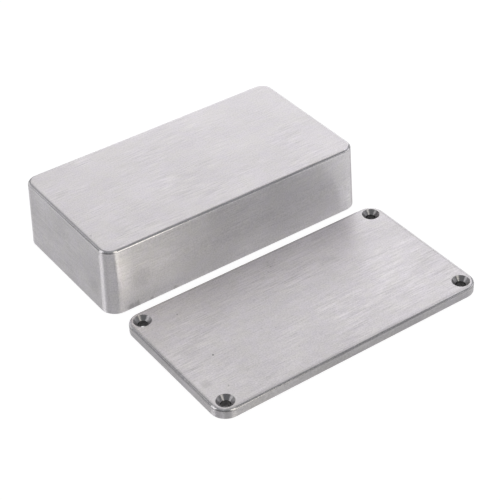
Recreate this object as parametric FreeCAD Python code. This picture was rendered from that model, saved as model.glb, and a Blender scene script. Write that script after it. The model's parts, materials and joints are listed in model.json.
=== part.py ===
"""Diecast aluminium enclosure: a drafted five-sided body and its screw-down lid.

The body stands with its open rim on the table, closed face up. The lid lies beside it with its outer
face up, carried on the locating rib of its underside. All sizes are millimetres. The origin is the
centre of the body's open rim, +X runs along the length and +Z points up.
"""

import FreeCAD
import Part
import math
import os

# Body, measured at the open rim
case_length = 112.0
case_width = 60.5
body_height = 27.0
corner_radius = 6.0
wall = 2.25
face_thickness = 2.3
draft_angle = 2.2
face_edge_round = 1.3
rim_edge_break = 0.25
floor_round = 1.2

# Screw bosses in the body's corners
screw_inset_x = 5.2
screw_inset_y = 4.95
boss_radius = 3.7
boss_blend = 2.6
tap_hole_radius = 1.45
tap_hole_depth = 15.0
tap_mouth_chamfer = 0.3

# Lid
lid_thickness = 4.0
lid_edge_round = 1.1
lid_under_break = 0.25
plate_thickness = 2.3
screw_hole_radius = 1.8
countersink_radius = 3.3
countersink_angle = 90.0

# Locating rib on the lid's underside, which drops inside the body's walls and round its bosses
rib_height = 1.6
rib_width = 1.6
rib_clearance = 0.25
rib_edge_break = 0.3
pocket_chamfer = 0.5

# The smallest radius that a blend beside a boss is drawn with
least_blend = 0.6

# Marks of the mould's ejector pins, slightly proud of the cavity's ceiling and the lid's pocket
ejector_radius = 2.5
ejector_height = 0.15
ejector_inset_x = 14.5
ejector_inset_y = 10.5

# Where the lid lies: the free table between the body's rim and the lid's edge
lid_gap = 8.6

# How far a cutting tool runs past the face that it opens
overshoot = 1.0

# How closely an edge keeps to a height to count as lying at it
level_tolerance = 0.0001

UP = FreeCAD.Vector(0, 0, 1)


def inset_at(height):
    """How far a drafted wall has moved inward at this height above the rim."""
    return height * math.tan(math.radians(draft_angle))


def near_corners(inset_x, inset_y):
    """The four points in plan that lie this far inside the outer walls."""
    x = case_length / 2 - inset_x
    y = case_width / 2 - inset_y
    return [(sx * x, sy * y) for sx in (-1, 1) for sy in (-1, 1)]


def screw_places():
    """The four screw axes in plan, the same for the bosses and the lid."""
    return near_corners(screw_inset_x, screw_inset_y)


def ejector_places():
    """The axes of the mould's four ejector pins in plan, the same for both castings."""
    return near_corners(ejector_inset_x, ejector_inset_y)


def turned(points, quarter):
    """Mirrors the points of the +X +Y corner into another corner, in order round the outline."""
    sx, sy = ((1, 1), (-1, 1), (-1, -1), (1, -1))[quarter]
    placed = [(sx * x, sy * y) for x, y in points]
    return placed if sx * sy > 0 else placed[::-1]


def outline(corner, z):
    """A closed wire from one corner's points: every second point is the middle of an arc."""
    vertices = [[FreeCAD.Vector(x, y, z) for x, y in turned(corner, q)] for q in range(4)]
    edges = []
    for quarter, points in enumerate(vertices):
        for start in range(0, len(points) - 2, 2):
            edges.append(Part.Arc(*points[start:start + 3]).toShape())
        following = vertices[(quarter + 1) % 4][0]
        edges.append(Part.LineSegment(points[-1], following).toShape())
    return Part.Wire(edges)


def outer_corner(inset):
    """The body's and the lid's outer corner, drawn inward by the inset."""
    radius = corner_radius - inset
    cx = case_length / 2 - corner_radius
    cy = case_width / 2 - corner_radius
    middle = radius * math.sqrt(0.5)
    return [(cx + radius, cy), (cx + middle, cy + middle), (cx, cy + radius)]


def cavity_corner(inset):
    """The cavity's corner, which runs along the wall, round the blend, round the boss and back."""
    a = case_length / 2 - wall - inset
    b = case_width / 2 - wall - inset
    boss = boss_radius + inset
    blend = max(boss_blend - inset, least_blend)
    cx = case_length / 2 - screw_inset_x
    cy = case_width / 2 - screw_inset_y
    reach = boss + blend
    y1 = cy - math.sqrt(reach**2 - (a - blend - cx)**2)
    x1 = cx - math.sqrt(reach**2 - (b - blend - cy)**2)
    first, second = (a - blend, y1), (x1, b - blend)

    def on_circle(centre, radius, angle):
        return (centre[0] + radius * math.cos(angle), centre[1] + radius * math.sin(angle))

    from_boss = [math.atan2(c[1] - cy, c[0] - cx) % (2 * math.pi) for c in (first, second)]
    turn = [math.atan2(cy - c[1], cx - c[0]) for c in (first, second)]
    return [
        (a, y1),
        on_circle(first, blend, turn[0] / 2),
        on_circle((cx, cy), boss, from_boss[0]),
        on_circle((cx, cy), boss, sum(from_boss) / 2),
        on_circle((cx, cy), boss, from_boss[1]),
        on_circle(second, blend, (turn[1] + math.pi / 2) / 2),
        (x1, b),
    ]


def drafted(corner, inset, near, far):
    """A solid between two outlines, the one at its far end drawn further in by the draft."""
    grown = inset + inset_at(abs(far - near))
    return Part.makeLoft([outline(corner(inset), near), outline(corner(grown), far)], True, True)


def edges_at(shape, z):
    """The edges that lie flat at this height."""
    return [edge for edge in shape.Edges
            if max(abs(edge.BoundBox.ZMin - z), abs(edge.BoundBox.ZMax - z)) < level_tolerance]


def cone(radius_low, radius_high, low, high, x, y):
    return Part.makeCone(radius_low, radius_high, high - low, FreeCAD.Vector(x, y, low), UP)


def rod(radius, low, high, x, y):
    return Part.makeCylinder(radius, high - low, FreeCAD.Vector(x, y, low), UP)


def tapped_hole(x, y):
    """A blind cored hole for the lid screw, flat at its end and chamfered where it opens at the rim."""
    mouth = tap_hole_radius + tap_mouth_chamfer
    hole = rod(tap_hole_radius, -overshoot, tap_hole_depth, x, y)
    return hole.fuse(cone(mouth + overshoot, tap_hole_radius, -overshoot, tap_mouth_chamfer, x, y))


def case_body():
    """The five-sided casting: drafted walls, a rounded closed face, and a boss in each corner."""
    shell = drafted(outer_corner, 0, 0, body_height)
    shell = shell.makeFillet(face_edge_round, edges_at(shell, body_height))
    shell = shell.makeChamfer(rim_edge_break, edges_at(shell, 0))
    ceiling = body_height - face_thickness
    below = -inset_at(overshoot)
    cavity = drafted(cavity_corner, below, -overshoot, ceiling)
    cavity = cavity.makeFillet(floor_round, edges_at(cavity, ceiling))
    shell = shell.cut(cavity)
    rooted = ceiling + face_thickness / 2
    for x, y in ejector_places():
        shell = shell.fuse(rod(ejector_radius, ceiling - ejector_height, rooted, x, y))
    for x, y in screw_places():
        shell = shell.cut(tapped_hole(x, y))
    return shell


def screw_hole(x, y, low, high):
    """A clearance hole right through the lid, countersunk from the outer face."""
    slope = math.tan(math.radians(countersink_angle / 2))
    depth = (countersink_radius - screw_hole_radius) / slope
    past = overshoot * slope
    hole = rod(screw_hole_radius, low - overshoot, high, x, y)
    mouth = countersink_radius + past
    return hole.fuse(cone(screw_hole_radius, mouth, high - depth, high + overshoot, x, y))


def lid():
    """The flat cover: a rounded flange, a locating rib under it and a shallow pocket inside the rib."""
    underside = rib_height
    top = rib_height + lid_thickness
    flange = Part.Face(outline(outer_corner(0), underside)).extrude(UP * lid_thickness)
    flange = flange.makeFillet(lid_edge_round, edges_at(flange, top))
    flange = flange.makeChamfer(lid_under_break, edges_at(flange, underside))
    rib = drafted(cavity_corner, rib_clearance, underside, 0)
    rib = rib.makeChamfer(rib_edge_break, edges_at(rib, 0))
    cover = flange.fuse(rib)
    roof = top - plate_thickness
    inner = rib_clearance + rib_width
    pocket = drafted(cavity_corner, inner, 0, roof)
    mouth = Part.Face(outline(cavity_corner(inner), 0)).extrude(UP * -overshoot)
    pocket = pocket.makeChamfer(pocket_chamfer, edges_at(pocket, roof))
    cover = cover.cut(pocket).cut(mouth)
    rooted = roof + plate_thickness / 2
    for x, y in ejector_places():
        cover = cover.fuse(rod(ejector_radius, roof - ejector_height, rooted, x, y))
    for x, y in screw_places():
        cover = cover.cut(screw_hole(x, y, underside, top))
    cover.translate(FreeCAD.Vector(0, -(case_width + lid_gap), 0))
    return cover


def main():
    os.makedirs("parts", exist_ok=True)
    for name, make in (("case_body", case_body), ("lid", lid)):
        shape = make()
        shape = shape.Solids[0] if len(shape.Solids) == 1 else shape
        shape.exportStep("parts/" + name + ".step")
        print(name, "solids", len(shape.Solids), "valid", shape.isValid(),
              "volume", round(shape.Volume, 1), "faces", len(shape.Faces))


main()
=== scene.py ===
"""A bare diecast aluminium enclosure: its body standing open side down, and its lid lying in front of it.

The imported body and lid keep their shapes. This script gives them brushed, cast and machined metal, adds the
threads in the body's screw holes, and sets up a pale table, studio lights and the camera. Sizes are metres,
and directions are degrees, counted from the right (+X) towards the back (+Y).
"""

import json
import math
from dataclasses import dataclass

import bpy
from mathutils import Matrix, Vector

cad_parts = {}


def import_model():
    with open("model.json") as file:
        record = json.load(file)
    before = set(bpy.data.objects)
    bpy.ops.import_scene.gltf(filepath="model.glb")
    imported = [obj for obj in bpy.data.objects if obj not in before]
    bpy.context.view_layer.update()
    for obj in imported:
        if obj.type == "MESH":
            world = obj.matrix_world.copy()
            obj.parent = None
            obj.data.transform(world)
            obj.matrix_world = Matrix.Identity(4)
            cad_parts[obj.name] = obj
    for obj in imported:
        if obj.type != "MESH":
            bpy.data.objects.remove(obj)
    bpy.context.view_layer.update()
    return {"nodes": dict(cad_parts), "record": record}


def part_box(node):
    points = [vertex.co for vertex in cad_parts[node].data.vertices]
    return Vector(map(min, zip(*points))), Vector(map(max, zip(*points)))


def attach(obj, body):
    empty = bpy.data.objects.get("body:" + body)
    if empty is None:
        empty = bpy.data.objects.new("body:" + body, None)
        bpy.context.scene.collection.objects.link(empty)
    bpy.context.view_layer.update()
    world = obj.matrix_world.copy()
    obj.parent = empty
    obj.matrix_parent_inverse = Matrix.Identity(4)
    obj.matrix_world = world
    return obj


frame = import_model()
mounts = {mount["name"]: mount for mount in frame["record"]["mounts"]}

MM = 0.001
WHITE = (1, 1, 1, 1)
UP = (0, 0, 1)
RIGHT = (1, 0, 0)


class Nodes:
    """A short way to write a shader's node tree."""

    def __init__(self, tree):
        self.tree = tree
        tree.nodes.clear()

    def add(self, kind, inputs=None, **settings):
        node = self.tree.nodes.new(kind)
        for name, value in settings.items():
            setattr(node, name, value)
        for key, value in (inputs or {}).items():
            self.put(node.inputs[key], value)
        return node

    def put(self, socket, value):
        if isinstance(value, bpy.types.NodeSocket):
            self.tree.links.new(value, socket)
        else:
            socket.default_value = value

    def math(self, operation, *values):
        node = self.add("ShaderNodeMath", operation=operation)
        for socket, value in zip(node.inputs, values):
            self.put(socket, value)
        return node.outputs[0]

    def product(self, first, *others):
        result = first
        for other in others:
            result = self.math("MULTIPLY", result, other)
        return result

    def total(self, first, *others):
        """A sum of products, each given as a tuple of what is multiplied."""
        result = self.product(*first)
        for other in others:
            result = self.math("ADD", result, self.product(*other))
        return result

    def vector(self, operation, *values):
        node = self.add("ShaderNodeVectorMath", operation=operation)
        for socket, value in zip(node.inputs, values):
            self.put(socket, value)
        is_number = operation in ("LENGTH", "DOT_PRODUCT", "DISTANCE")
        return node.outputs["Value" if is_number else "Vector"]

    def axes(self, vector):
        split = self.add("ShaderNodeSeparateXYZ", {0: vector})
        return split.outputs["X"], split.outputs["Y"], split.outputs["Z"]

    def joined(self, x, y, z):
        return self.add("ShaderNodeCombineXYZ", {"X": x, "Y": y, "Z": z}).outputs[0]

    def remap(self, value, low, high, to_low=0.0, to_high=1.0, kind="SMOOTHSTEP"):
        """The value's place from low to high, put between to_low and to_high and held there outside."""
        node = self.add("ShaderNodeMapRange", {
            "Value": value, "From Min": low, "From Max": high, "To Min": to_low, "To Max": to_high,
        }, interpolation_type=kind)
        return node.outputs[0]

    def mix(self, factor, first, second):
        """The first number where the factor is 0, the second where it is 1."""
        node = self.add("ShaderNodeMix", {"Factor": factor}, data_type="FLOAT")
        self.put(node.inputs[2], first)
        self.put(node.inputs[3], second)
        return node.outputs[0]

    def mix_vector(self, factor, first, second):
        node = self.add("ShaderNodeMix", {"Factor": factor}, data_type="VECTOR")
        self.put(node.inputs[4], first)
        self.put(node.inputs[5], second)
        return node.outputs[1]

    def noise(self, where, wave, detail, roughness, stretch=(1, 1, 1)):
        """Noise from -1 to 1 with waves this long, drawn out along the axes whose stretch is over one."""
        squeezed = self.vector("MULTIPLY", where, [1 / wave / part for part in stretch])
        node = self.add("ShaderNodeTexNoise", {
            "Vector": squeezed, "Scale": 1.0, "Detail": detail, "Roughness": roughness})
        return self.remap(node.outputs["Fac"], 0.0, 1.0, -1.0, 1.0, kind="LINEAR")


def middle_and_half(node):
    """The middle of a node's box, and half its size."""
    low, high = (Vector(corner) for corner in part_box(node))
    return (low + high) / 2, (high - low) / 2


# How deep under a casting's outer faces its inner ones begin, and how high its foot reaches
SKIN = 2.0 * MM
FOOT_HEIGHT = 0.05 * MM

# A surface's lean goes from 0, upright, to 1, level. These are the most on a wall, the least on a level face,
# the most in a screw hole, and the ranges in which a rounded edge begins and ends.
WALL_LEAN = 0.1
LEVEL_LEAN = 0.985
HOLE_LEAN = 0.98
EDGE_BEGINS = (0.08, 0.2)
EDGE_ENDS = (0.985, 0.95)

# How far down the foot faces at least
FOOT_DOWN = 0.9

# How far a surface is turned from both walls where a corner begins, and to an end where an end wall begins
CORNER_BEGINS = (0.01, 0.12)
END_BEGINS = (0.6, 0.8)


@dataclass
class Finish:
    """What sets one casting's metal apart from the other's.

    A tone is a share of the metal's usual lightness. The wall, edge and rim tones are painted shade, except
    the lid's high edge tone, which is a painted highlight. A mark is a place, in millimetres from the middle
    of the casting's foot, then how far the mark reaches, and the share of the light that it takes.
    """

    node: str
    screw_mount: str
    draft: float  # how far the walls lean in over a unit of height
    underside: float  # the height below which every surface is as cast, or 0 where the foot is ground
    hole_reach: float  # how far round a screw's axis its hole reaches
    # painted shade on the walls, as a share of the top's lightness
    wall_shade: float
    # painted shade on the rounded edge, where it meets the wall
    low_edge_shade: float  # the edge round the top, where it meets the wall
    # painted shade on the body's edge and a painted highlight on the lid's, where the edge meets the top
    high_edge_shading: float  # the same edge, where it meets the top
    # painted shade over the outermost millimetre
    rim_shade: float  # the outermost millimetre, and with a draft only that of the two ends
    edge_rough: float
    streaky: float
    cloudy: float
    blotchy: float
    marks: list


# The heights of the castings' tops, in millimetres
BODY_TOP = 27.0
LID_TOP = 5.6

BODY = Finish(
    node="case_body",
    screw_mount="boss_screw_holes",
    draft=math.tan(math.radians(2.2)),
    underside=0,
    hole_reach=1.8 * MM,
    # The wall, edge and rim tones below are painted shade
    wall_shade=1.0,
    low_edge_shade=0.86,
    high_edge_shading=0.93,
    rim_shade=0.92,
    edge_rough=0.16,
    streaky=0.03,
    cloudy=0.12,
    blotchy=0.03,
    marks=[
        (-52.9, -16.2, BODY_TOP, 0.6, 0.25),
        (18.7, -14.4, BODY_TOP, 0.5, 0.12),
        (-26.3, -16.7, BODY_TOP, 0.5, 0.12),
        (-42.9, -21.5, BODY_TOP, 4.0, 0.04),
        (-42.2, -29.8, 11.7, 6.0, 0.13),
        (-47.2, -30.2, 1.2, 2.0, 0.32),
        (-45.0, -30.2, 1.2, 2.0, 0.28),
        (-38.4, -30.2, 0.7, 1.2, 0.25),
        (-28.5, -30.2, 0.9, 1.2, 0.2),
        (-55.7, -19.7, 8.1, 4.5, 0.10),
    ])

LID = Finish(
    node="lid",
    screw_mount="lid_screw_holes",
    draft=0,
    underside=1.62 * MM,
    hole_reach=3.35 * MM,
    # The wall, edge and rim tones below are painted shade, but the high edge tone is a painted highlight
    wall_shade=0.97,
    low_edge_shade=0.68,
    high_edge_shading=1.05,
    rim_shade=0.8,
    edge_rough=0.22,
    streaky=0.07,
    cloudy=0.14,
    blotchy=0.05,
    marks=[
        (-41.4, -4.4, LID_TOP, 0.5, 0.85),
        (-39.3, 20.8, LID_TOP, 0.35, 0.6),
        (-45.9, -20.1, LID_TOP, 0.35, 0.45),
        (2.7, 24.2, LID_TOP, 3.2, 0.07),
        (2.3, 22.7, LID_TOP, 0.55, 0.3),
        (2.8, 25.4, LID_TOP, 0.55, 0.25),
        (5.4, 25.0, LID_TOP, 0.5, 0.2),
        (-0.3, 20.6, LID_TOP, 0.5, 0.2),
        (-17.6, 13.6, LID_TOP, 0.4, 0.2),
        (-46.7, 2.2, LID_TOP, 5.0, 0.07),
        (-51.1, -14.9, LID_TOP, 2.8, 0.12),
        (-16.3, -5.8, LID_TOP, 0.5, 0.15),
        (-15.7, -18.4, LID_TOP, 0.5, 0.15),
        (-13.6, 10.8, LID_TOP, 0.4, 0.2),
        (44.4, -22.4, LID_TOP, 0.4, 0.15),
    ])


class Casting:
    """Where a point of one casting lies, and how far it belongs to each kind of surface, from 0 to 1."""

    def __init__(self, n, finish):
        middle, half = middle_and_half(finish.node)
        self.n = n
        place = n.add("ShaderNodeTexCoord").outputs["Object"]
        self.place = n.vector("SUBTRACT", place, (middle.x, middle.y, middle.z - half.z))
        self.normal = n.add("ShaderNodeNewGeometry").outputs["Normal"]
        x, y, z = n.axes(self.place)
        right, back, up = n.axes(self.normal)
        faces_end, faces_side = n.math("ABSOLUTE", right), n.math("ABSOLUTE", back)
        self.lean = n.math("ABSOLUTE", up)
        self.wall = n.math("LESS_THAN", self.lean, WALL_LEAN)
        self.level = n.math("GREATER_THAN", self.lean, LEVEL_LEAN)
        self.edge = n.product(n.remap(self.lean, *EDGE_BEGINS), n.remap(self.lean, *EDGE_ENDS))
        self.corner = n.remap(n.math("MINIMUM", faces_end, faces_side), *CORNER_BEGINS)
        self.end = n.remap(faces_end, *END_BEGINS)

        across_x, across_y = n.math("ABSOLUTE", x), n.math("ABSOLUTE", y)
        leaned = n.math("MULTIPLY", z, finish.draft)
        self.from_end = n.math("SUBTRACT", n.math("SUBTRACT", half.x, leaned), across_x)
        from_side = n.math("SUBTRACT", n.math("SUBTRACT", half.y, leaned), across_y)
        from_outline = n.math("MINIMUM", self.from_end, from_side)
        self.from_rim = self.from_end if finish.draft else from_outline
        from_top = n.math("SUBTRACT", 2 * half.z, z)
        deep = n.math("GREATER_THAN", n.math("MINIMUM", from_outline, from_top), SKIN)
        if finish.underside:
            self.cast = n.math("MAXIMUM", deep, n.math("LESS_THAN", z, finish.underside))
        else:
            foot = n.product(n.math("LESS_THAN", up, -FOOT_DOWN), n.math("LESS_THAN", z, FOOT_HEIGHT))
            self.cast = n.product(deep, n.math("SUBTRACT", 1.0, foot))

        dims = mounts[finish.screw_mount]["dims"]
        hole_x = n.math("SUBTRACT", across_x, dims["spacing_x_mm"] / 2 * MM)
        hole_y = n.math("SUBTRACT", across_y, dims["spacing_y_mm"] / 2 * MM)
        self.from_screw = n.joined(n.product(hole_x, n.math("SIGN", x)),
                                   n.product(hole_y, n.math("SIGN", y)), 0.0)
        near_screw = n.math("LESS_THAN", n.vector("LENGTH", self.from_screw), finish.hole_reach)
        self.turned = n.product(near_screw, n.math("LESS_THAN", self.lean, HOLE_LEAN))


def along_brush(c, wave, detail, length):
    """Noise drawn out along the brush: along X, and along Y on the two end walls."""
    n = c.n
    along_x, along_y = (n.noise(c.place, wave, detail, roughness=0.6, stretch=stretch)
                        for stretch in ((length, 1, 1), (1, length, 1)))
    return n.mix(c.end, along_x, along_y)


class Pattern:
    """The patterns in a casting's metal: noise from -1 to 1, and patches from 0 to 1."""

    def __init__(self, c):
        n = c.n
        self.lines = along_brush(c, wave=0.5 * MM, detail=2, length=18)
        self.streaks = along_brush(c, wave=1.6 * MM, detail=3, length=6)
        self.clouds = n.noise(c.place, wave=20 * MM, detail=3, roughness=0.5, stretch=(1.3, 1, 1))
        self.blotches = n.noise(c.place, wave=3 * MM, detail=3, roughness=0.6, stretch=(1.3, 1, 1))
        self.speckle = n.noise(c.place, wave=0.5 * MM, detail=1, roughness=0.5)
        self.grain = n.noise(c.place, wave=0.35 * MM, detail=2, roughness=0.6)
        self.ripple = n.noise(c.place, wave=5 * MM, detail=2, roughness=0.5)
        self.tinge = n.noise(c.place, wave=5 * MM, detail=5, roughness=0.7)
        unevenness = n.noise(c.place, wave=14 * MM, detail=2, roughness=0.5, stretch=(1.5, 1, 1))
        self.patches = n.remap(unevenness, -0.35, 0.4)


# How ragged a mark's outline is, and the share of its reach over which it keeps its full strength
MARK_RAGGED = 0.6
MARK_CORE = 0.3


def worst_mark(c, marks):
    """The share of the light that the marks take at a point."""
    n = c.n
    uneven = n.noise(c.place, wave=1.2 * MM, detail=3, roughness=0.7)
    ragged = n.math("MULTIPLY_ADD", uneven, MARK_RAGGED, 1.0)
    result = None
    for x, y, z, reach, strength in marks:
        distance = n.product(n.vector("DISTANCE", c.place, (x * MM, y * MM, z * MM)), ragged)
        shown = n.remap(distance, reach * MM, MARK_CORE * reach * MM, 0.0, strength)
        result = shown if result is None else n.math("MAXIMUM", result, shown)
    return result


# The metal's own colour in bluish and in reddish places, and the range of the noise between them
BLUISH = (0.80, 0.768, 0.804)
REDDISH = (0.80, 0.775, 0.776)
TINGE_RANGE = (-0.4, 0.4)

# How much the patterns change the lightness: the first two of brushed metal, then of cast and of turned metal
LINES_TONE = 0.24
SPECKLE_TONE = 0.22
GRAIN_TONE = 0.12
RIPPLE_TONE = 0.1
TURNED_SPECKLE_TONE = 0.1

# How strong the lines and streaks are where the brush pressed least and most, and how strong the lines and
# clouds are on walls
LINE_STRENGTHS = (0.4, 1.6)
STREAK_STRENGTHS = (0.1, 1.9)
WALL_LINES = 0.6
WALL_CLOUDS = 2.0

# The lightness of a screw hole's upright faces, near black as painted shade, and of its sloping faces, and
# the leans of the two
HOLE_SHADE_AND_TONE = (0.09, 0.48)
HOLE_LEANS = (0.3, 0.6)

# The leans at which an edge has its low and its high tone (painted shade, and on the lid a painted highlight
# at the high end), the share of the low tone that is left round the corners (more painted shade, to dim the
# glints there), and how far inside the outline the rim's painted shade fades
EDGE_TONE_LEANS = (0.35, 0.8)
CORNER_SHADE = 0.76
RIM_FADES = (1.0 * MM, 1.8 * MM)


def metal_colour(c, pattern, finish):
    """The metal's colour, with painted shade on the walls, edges, outermost millimetre and screw holes'
    bores, and a painted highlight along the lid's edges. The brush lines show here, and not only in the bump,
    because they are so fine.
    """
    n = c.n
    pressed = pattern.patches
    brushed = n.total(
        (pattern.lines, n.remap(pressed, 0, 1, *LINE_STRENGTHS), n.mix(c.wall, 1.0, WALL_LINES), LINES_TONE),
        (pattern.streaks, n.remap(pressed, 0, 1, *STREAK_STRENGTHS, kind="LINEAR"), finish.streaky),
        (pattern.clouds, n.mix(c.wall, 1.0, WALL_CLOUDS), finish.cloudy),
        (pattern.blotches, finish.blotchy),
        (pattern.speckle, SPECKLE_TONE))
    cast = n.total((pattern.grain, GRAIN_TONE), (pattern.ripple, RIPPLE_TONE))
    # Painted shade on the edges, darker still round the corners, to dim the glints there
    low_edge_shade = n.mix(c.corner, finish.low_edge_shade, CORNER_SHADE * finish.low_edge_shade)
    edge_shading = n.remap(c.lean, *EDGE_TONE_LEANS, low_edge_shade, finish.high_edge_shading)
    # Painted shade in the screw holes: the upright bores are near black
    turned = n.math("MULTIPLY_ADD", pattern.speckle, TURNED_SPECKLE_TONE,
                    n.remap(c.lean, *HOLE_LEANS, *HOLE_SHADE_AND_TONE))
    # Painted shade on the walls, edges and outermost millimetre, and a painted highlight on the lid's edges
    outside = n.product(
        n.math("ADD", 1.0, n.mix(c.cast, brushed, cast)),
        n.mix(c.wall, 1.0, finish.wall_shade),
        n.mix(c.edge, 1.0, edge_shading),
        n.remap(c.from_rim, *RIM_FADES, finish.rim_shade, 1.0))
    clean = n.math("SUBTRACT", 1.0, worst_mark(c, finish.marks))
    tone = n.product(n.mix(c.turned, outside, turned), clean)
    tint = n.mix_vector(n.remap(pattern.tinge, *TINGE_RANGE), BLUISH, REDDISH)
    return n.vector("MULTIPLY", tint, n.joined(tone, tone, tone))


# Roughness, and what the walls and the patterns add to it
BRUSHED_ROUGH = 0.31
WALL_MORE_ROUGH = 0.07
CORNER_EDGE_ROUGH = 0.26
CAST_ROUGH = 0.55
TURNED_ROUGH = 0.3
LINES_ROUGH = 0.05
CLOUDS_ROUGH = 0.03
STREAKS_ROUGH = 0.04
RIPPLE_ROUGH = 0.1


def metal_roughness(c, pattern, finish):
    """How rough each kind of surface is."""
    n = c.n
    brushed = n.math("ADD", BRUSHED_ROUGH, n.total(
        (pattern.lines, LINES_ROUGH), (pattern.clouds, CLOUDS_ROUGH), (c.wall, WALL_MORE_ROUGH)))
    edge = n.math("MULTIPLY_ADD", pattern.streaks, STREAKS_ROUGH,
                  n.mix(c.corner, finish.edge_rough, CORNER_EDGE_ROUGH))
    cast = n.math("MULTIPLY_ADD", pattern.ripple, RIPPLE_ROUGH, CAST_ROUGH)
    outside = n.mix(c.cast, n.mix(c.edge, brushed, edge), cast)
    return n.mix(c.turned, outside, TURNED_ROUGH)


# The relief's heights, how far the body's long walls round over, and between which distances from its ends
LINES_HEIGHT = 0.004 * MM
GRAIN_HEIGHT = 0.012 * MM
RIPPLE_HEIGHT = 0.03 * MM
ROUNDING_HEIGHT = 0.16 * MM
ROUNDING = (11 * MM, 5 * MM)


def metal_height(c, pattern, finish):
    """The relief of the lines and the grain, and the slight rounding of the long walls' ends."""
    n = c.n
    brushed = n.math("MULTIPLY", pattern.lines, LINES_HEIGHT)
    cast = n.total((pattern.grain, GRAIN_HEIGHT), (pattern.ripple, RIPPLE_HEIGHT))
    relief = n.mix(c.turned, n.mix(c.cast, brushed, cast), 0.0)
    if not finish.draft:
        return relief
    near_end = n.remap(c.from_end, *ROUNDING, kind="LINEAR")
    return n.math("MULTIPLY_ADD", n.product(near_end, near_end, c.wall), -ROUNDING_HEIGHT, relief)


def across_the_lines(c):
    """The direction across the tool's lines.

    The brush ran along X on level faces and level round the walls, and the cutter ran round the screw holes.
    """
    n = c.n
    level_round = n.vector("CROSS_PRODUCT", UP, c.normal)
    across_brush = n.vector("CROSS_PRODUCT", c.normal, n.mix_vector(c.level, level_round, RIGHT))
    round_hole = n.vector("CROSS_PRODUCT", UP, c.from_screw)
    across_cutter = n.vector("CROSS_PRODUCT", c.normal, round_hole)
    return n.vector("NORMALIZE", n.mix_vector(c.turned, across_brush, across_cutter))


# How much a highlight is drawn out across the lines
LEVEL_ANISOTROPY = 0.75
WALL_ANISOTROPY = 1.0
TURNED_ANISOTROPY = 0.9


def metal(name, finish):
    """A casting's material: brushed outside, as cast inside and turned in the screw holes."""
    material = bpy.data.materials.new(name)
    material.use_nodes = True
    n = Nodes(material.node_tree)
    c = Casting(n, finish)
    pattern = Pattern(c)
    height = metal_height(c, pattern, finish)
    bump = n.add("ShaderNodeBump", {"Height": height, "Distance": 1.0, "Strength": 1.0})
    brushed = n.product(n.math("SUBTRACT", 1.0, c.cast), n.mix(c.wall, LEVEL_ANISOTROPY, WALL_ANISOTROPY))
    shader = n.add("ShaderNodeBsdfPrincipled", {
        "Base Color": metal_colour(c, pattern, finish),
        "Metallic": 1.0,
        "Roughness": metal_roughness(c, pattern, finish),
        "Anisotropic": n.mix(c.turned, brushed, TURNED_ANISOTROPY),
        "Tangent": across_the_lines(c),
        "Normal": bump.outputs[0]})
    n.add("ShaderNodeOutputMaterial", {"Surface": shader.outputs[0]})
    return material


def paint(node, material):
    """Gives a CAD node this material and no other."""
    item = frame["nodes"][node]
    item.data.materials.clear()
    item.data.materials.append(material)


def new_object(name, data):
    item = bpy.data.objects.new(name, data)
    bpy.context.scene.collection.objects.link(item)
    return item


# The threads: their pitch, how far they stand out of the hole's wall and are sunk into it, where they start
# and end, and half the width of their foot and crest, as shares of the pitch
THREAD_PITCH = 0.6 * MM
THREAD_HEIGHT = 0.17 * MM
THREAD_SUNK = 0.03 * MM
THREAD_START = 0.5 * MM
THREAD_END = 13.5 * MM
THREAD_FOOT = 0.45
THREAD_CREST = 0.1
THREAD_STEPS_ROUND = 32


def thread(name, x, y, wall, material):
    """A screw thread standing proud of its hole's wall: one helical ridge that fades out at both ends."""
    turns = (THREAD_END - THREAD_START) / THREAD_PITCH
    steps = int(turns * THREAD_STEPS_ROUND)
    points, faces = [], []
    for step in range(steps + 1):
        turned = step / THREAD_STEPS_ROUND
        fade = min(1.0, turned, (steps - step) / THREAD_STEPS_ROUND)
        foot = (wall + THREAD_SUNK, THREAD_FOOT)
        crest = (wall - THREAD_HEIGHT * fade, THREAD_CREST)
        angle = 2 * math.pi * turned
        for (radius, width), side in ((foot, -1), (crest, -1), (crest, 1), (foot, 1)):
            z = THREAD_START + THREAD_PITCH * (turned + side * width)
            points.append((x + radius * math.cos(angle), y + radius * math.sin(angle), z))
    for step in range(steps):
        for side in range(4):
            first, second = 4 * step + side, 4 * step + (side + 1) % 4
            faces.append((first, first + 4, second + 4, second))
    faces += [(0, 1, 2, 3), tuple(4 * steps + side for side in (3, 2, 1, 0))]
    mesh = bpy.data.meshes.new(name)
    mesh.from_pydata(points, [], faces)
    mesh.materials.append(material)
    item = new_object(name, mesh)
    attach(item, "root")


def threads(material):
    """The threads in the body's four screw holes."""
    mount = mounts[BODY.screw_mount]
    dims, (middle_x, middle_y) = mount["dims"], mount["pos_m"][:2]
    x, y = dims["spacing_x_mm"] / 2 * MM, dims["spacing_y_mm"] / 2 * MM
    places = [(middle_x + sx * x, middle_y + sy * y) for sx in (-1, 1) for sy in (-1, 1)]
    for number, place in enumerate(places, 1):
        thread("screw_thread_%d" % number, *place, dims["hole_r_mm"] * MM, material)


# The table: half its side, and its height, just below the castings
TABLE_REACH = 3.0
TABLE_LEVEL = -0.02 * MM

# How brightly the metal sees the table glow, in the open and under each casting, and how far inside the
# castings' outlines the latter begins
OPEN_GLOW = 0.535
UNDER_BODY_GLOW = 0.76
UNDER_LID_GLOW = 0.57
UNDER_BODY_MARGIN = 0.1 * MM
UNDER_LID_MARGIN = 4.2 * MM

# How brightly the camera sees the table glow, in the open and in the gap under the lid, where a painted
# shadow dims it, and how far inside the lid's outline that painted shadow begins
SEEN_GLOW = 0.9
SEEN_SHADE = 0.03
SHADE_MARGIN = 2.0 * MM

# The radius of both castings' corners
CORNER_RADIUS = 6.0 * MM


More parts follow.
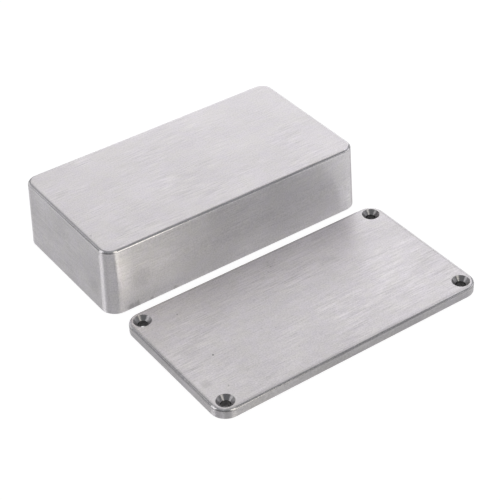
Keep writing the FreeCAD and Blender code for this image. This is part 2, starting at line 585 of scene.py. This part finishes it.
def inside_outline(n, place, node, margin):
    """1 where a point of the table lies under a casting, this far inside its outline or more."""
    middle, half = middle_and_half(node)
    from_middle = n.vector("ABSOLUTE", n.vector("SUBTRACT", place, (middle.x, middle.y, 0.0)))
    straight = (half.x - CORNER_RADIUS, half.y - CORNER_RADIUS, 0.0)
    beyond = n.vector("MAXIMUM", n.vector("SUBTRACT", from_middle, straight), (0, 0, 0))
    outside = n.vector("LENGTH", n.vector("MULTIPLY", beyond, (1, 1, 0)))
    return n.math("LESS_THAN", outside, CORNER_RADIUS - margin)


def floor():
    """A white table, seen evenly lit by the camera except for a painted shadow in the gap under the lid, and
    a little darker and glossy by the metal.

    Its underside is clear, and where a casting covers it, it glows brighter on that casting's inner faces, so
    that they can be looked at from below.
    """
    mesh = bpy.data.meshes.new("table")
    corners = [(sx * TABLE_REACH, sy * TABLE_REACH, TABLE_LEVEL)
               for sx, sy in ((-1, -1), (1, -1), (1, 1), (-1, 1))]
    mesh.from_pydata(corners, [], [(0, 1, 2, 3)])
    item = new_object("table", mesh)
    material = bpy.data.materials.new("table")
    material.use_nodes = True
    n = Nodes(material.node_tree)
    place = n.add("ShaderNodeTexCoord").outputs["Object"]
    under_body = n.product(inside_outline(n, place, "case_body", UNDER_BODY_MARGIN), UNDER_BODY_GLOW)
    under_lid = n.product(inside_outline(n, place, "lid", UNDER_LID_MARGIN), UNDER_LID_GLOW)
    glow = n.math("MAXIMUM", n.math("MAXIMUM", under_body, under_lid), OPEN_GLOW)
    # Painted shadow: where the camera sees the table under the lid, it hardly glows
    painted_shadow_under_lid = inside_outline(n, place, "lid", SHADE_MARGIN)
    shown = n.add("ShaderNodeBsdfPrincipled", {
        "Base Color": (0.25, 0.25, 0.25, 1), "Roughness": 0.6, "Specular IOR Level": 0.0,
        "Emission Color": WHITE, "Emission Strength": n.mix(painted_shadow_under_lid, SEEN_GLOW, SEEN_SHADE)})
    reflected = n.add("ShaderNodeBsdfPrincipled", {
        "Base Color": (0.3, 0.3, 0.3, 1), "Roughness": 0.25, "Specular IOR Level": 0.25,
        "Emission Color": WHITE, "Emission Strength": glow})
    clear = n.add("ShaderNodeBsdfTransparent")
    seen = n.add("ShaderNodeMixShader", {
        0: n.add("ShaderNodeLightPath").outputs["Is Camera Ray"],
        1: reflected.outputs[0], 2: shown.outputs[0]})
    sides = n.add("ShaderNodeMixShader", {
        0: n.add("ShaderNodeNewGeometry").outputs["Backfacing"],
        1: seen.outputs[0], 2: clear.outputs[0]})
    n.add("ShaderNodeOutputMaterial", {"Surface": sides.outputs[0]})
    mesh.materials.append(material)


# The camera's place, what it looks at, its tilt in degrees, and its lens and sensor in millimetres
CAMERA_PLACE = Vector((-247.24, -402.76, 348.28)) * MM
CAMERA_TARGET = Vector((6.105, -27.932, 0.0)) * MM
CAMERA_TILT = -2.272
CAMERA_LENS = 110.41
CAMERA_SENSOR = 36.0


def camera():
    """The photograph's view, with its small tilt."""
    forward = (CAMERA_TARGET - CAMERA_PLACE).normalized()
    right = forward.cross(Vector(UP)).normalized()
    up = right.cross(forward)
    tilt = math.radians(CAMERA_TILT)
    tilted_right = right * math.cos(tilt) + up * math.sin(tilt)
    tilted_up = up * math.cos(tilt) - right * math.sin(tilt)
    data = bpy.data.cameras.new("camera")
    data.sensor_width = CAMERA_SENSOR
    data.lens = CAMERA_LENS
    data.clip_start = 0.01
    data.clip_end = 20.0
    item = new_object("camera", data)
    turn = Matrix((tilted_right, tilted_up, -forward)).transposed().to_4x4()
    item.matrix_world = Matrix.Translation(CAMERA_PLACE) @ turn
    bpy.context.scene.camera = item


# How far the lights stand from the object, and their tints
LIGHT_DISTANCE = 1.6
NEUTRAL = (1, 1, 1)
WARM = (1.05, 1.03, 0.92)
CREAM = (1.03, 1.01, 0.95)
ROSE = (1.05, 0.99, 0.99)
COOL = (0.96, 0.97, 1.06)

# Each light's name, direction, elevation, width and height as seen from the object, glow and tint
LIGHTS = [
    ("strip_right", -82, 37, 22, 26, 1.6, WARM),
    ("strip_right_low", -76, 9, 18, 18, 1.45, WARM),
    ("strip_right_far", -89, 9, 16, 18, 0.6, NEUTRAL),
    ("strip_left", 158, 38, 28, 26, 1.15, NEUTRAL),
    ("strip_left_low", 162, 9, 26, 18, 1.85, NEUTRAL),
    ("backdrop", 48, 8, 42, 16, 0.83, NEUTRAL),
    ("backdrop_above", 50, 25, 42, 18, 0.98, NEUTRAL),
    ("fill_back", 45, 43, 56, 20, 0.33, ROSE),
    ("fill_back_high", 35, 62, 60, 18, 0.46, CREAM),
    ("fill_back_left", 116, 36, 34, 24, 0.2, NEUTRAL),
    ("low_back_left", 114, 12, 34, 24, 0.57, NEUTRAL),
    ("fill_back_right", 3, 46, 34, 22, 0.43, COOL),
    ("low_right", -33, 11, 46, 22, 0.85, NEUTRAL),
]


def softbox(name, direction, elevation, wide, tall, glow, tint):
    """A soft light that faces the object, and that the camera doesn't see."""
    data = bpy.data.lights.new(name, "AREA")
    data.shape = "RECTANGLE"
    data.size = 2 * LIGHT_DISTANCE * math.tan(math.radians(wide / 2))
    data.size_y = 2 * LIGHT_DISTANCE * math.tan(math.radians(tall / 2))
    data.energy = glow * math.pi * data.size * data.size_y
    data.color = tint
    turn, rise = math.radians(direction), math.radians(elevation)
    level = Vector((math.cos(turn), math.sin(turn), 0)) * math.cos(rise)
    toward = level + Vector(UP) * math.sin(rise)
    item = new_object(name, data)
    item.location = toward * LIGHT_DISTANCE
    item.rotation_euler = toward.to_track_quat("Z", "Y").to_euler()
    item.visible_camera = False


# The room: its colour, its glow all round, overhead and in its dark part, the direction of the dark part, and
# the ranges in which the dark part begins from the sides and from above, and in which overhead begins
ROOM_TINT = (0.97, 1.0, 1.03, 1)
ROOM_GLOW = 0.28
OVERHEAD_GLOW = 0.42
DARK_GLOW = 0.09
DARK_DIRECTION = math.radians(218)
DARK_SIDEWAYS = (0.75, 0.9)
DARK_UPWARDS = (0.42, 0.22)
OVERHEAD = (0.85, 0.97)


def world():
    """A dim room, lighter overhead and darker low down on one side, behind a background of plain white."""
    scene_world = bpy.data.worlds.new("studio")
    bpy.context.scene.world = scene_world
    scene_world.use_nodes = True
    n = Nodes(scene_world.node_tree)
    direction = n.add("ShaderNodeTexCoord").outputs["Generated"]
    rise = n.axes(direction)[2]
    dark_side = (math.cos(DARK_DIRECTION), math.sin(DARK_DIRECTION), 0.0)
    toward_dark_side = n.vector("DOT_PRODUCT", direction, dark_side)
    dark = n.product(n.remap(toward_dark_side, *DARK_SIDEWAYS), n.remap(rise, *DARK_UPWARDS))
    glow = n.mix(dark, n.remap(rise, *OVERHEAD, ROOM_GLOW, OVERHEAD_GLOW), DARK_GLOW)
    room = n.add("ShaderNodeBackground", {"Color": ROOM_TINT, "Strength": glow})
    shown = n.add("ShaderNodeBackground", {"Color": WHITE, "Strength": 1.0})
    seen = n.add("ShaderNodeMixShader", {
        0: n.add("ShaderNodeLightPath").outputs["Is Camera Ray"],
        1: room.outputs[0], 2: shown.outputs[0]})
    n.add("ShaderNodeOutputWorld", {"Surface": seen.outputs[0]})


def colours():
    """Shows the colours as they are rendered, with no film look."""
    view = bpy.context.scene.view_settings
    view.view_transform = "Standard"
    view.look = "None"
    view.exposure = 0.0
    view.gamma = 1.0


camera()
body_metal = metal("body_metal", BODY)
paint("case_body", body_metal)
threads(body_metal)
paint("lid", metal("lid_metal", LID))
floor()
for light in LIGHTS:
    softbox(*light)
world()
colours()
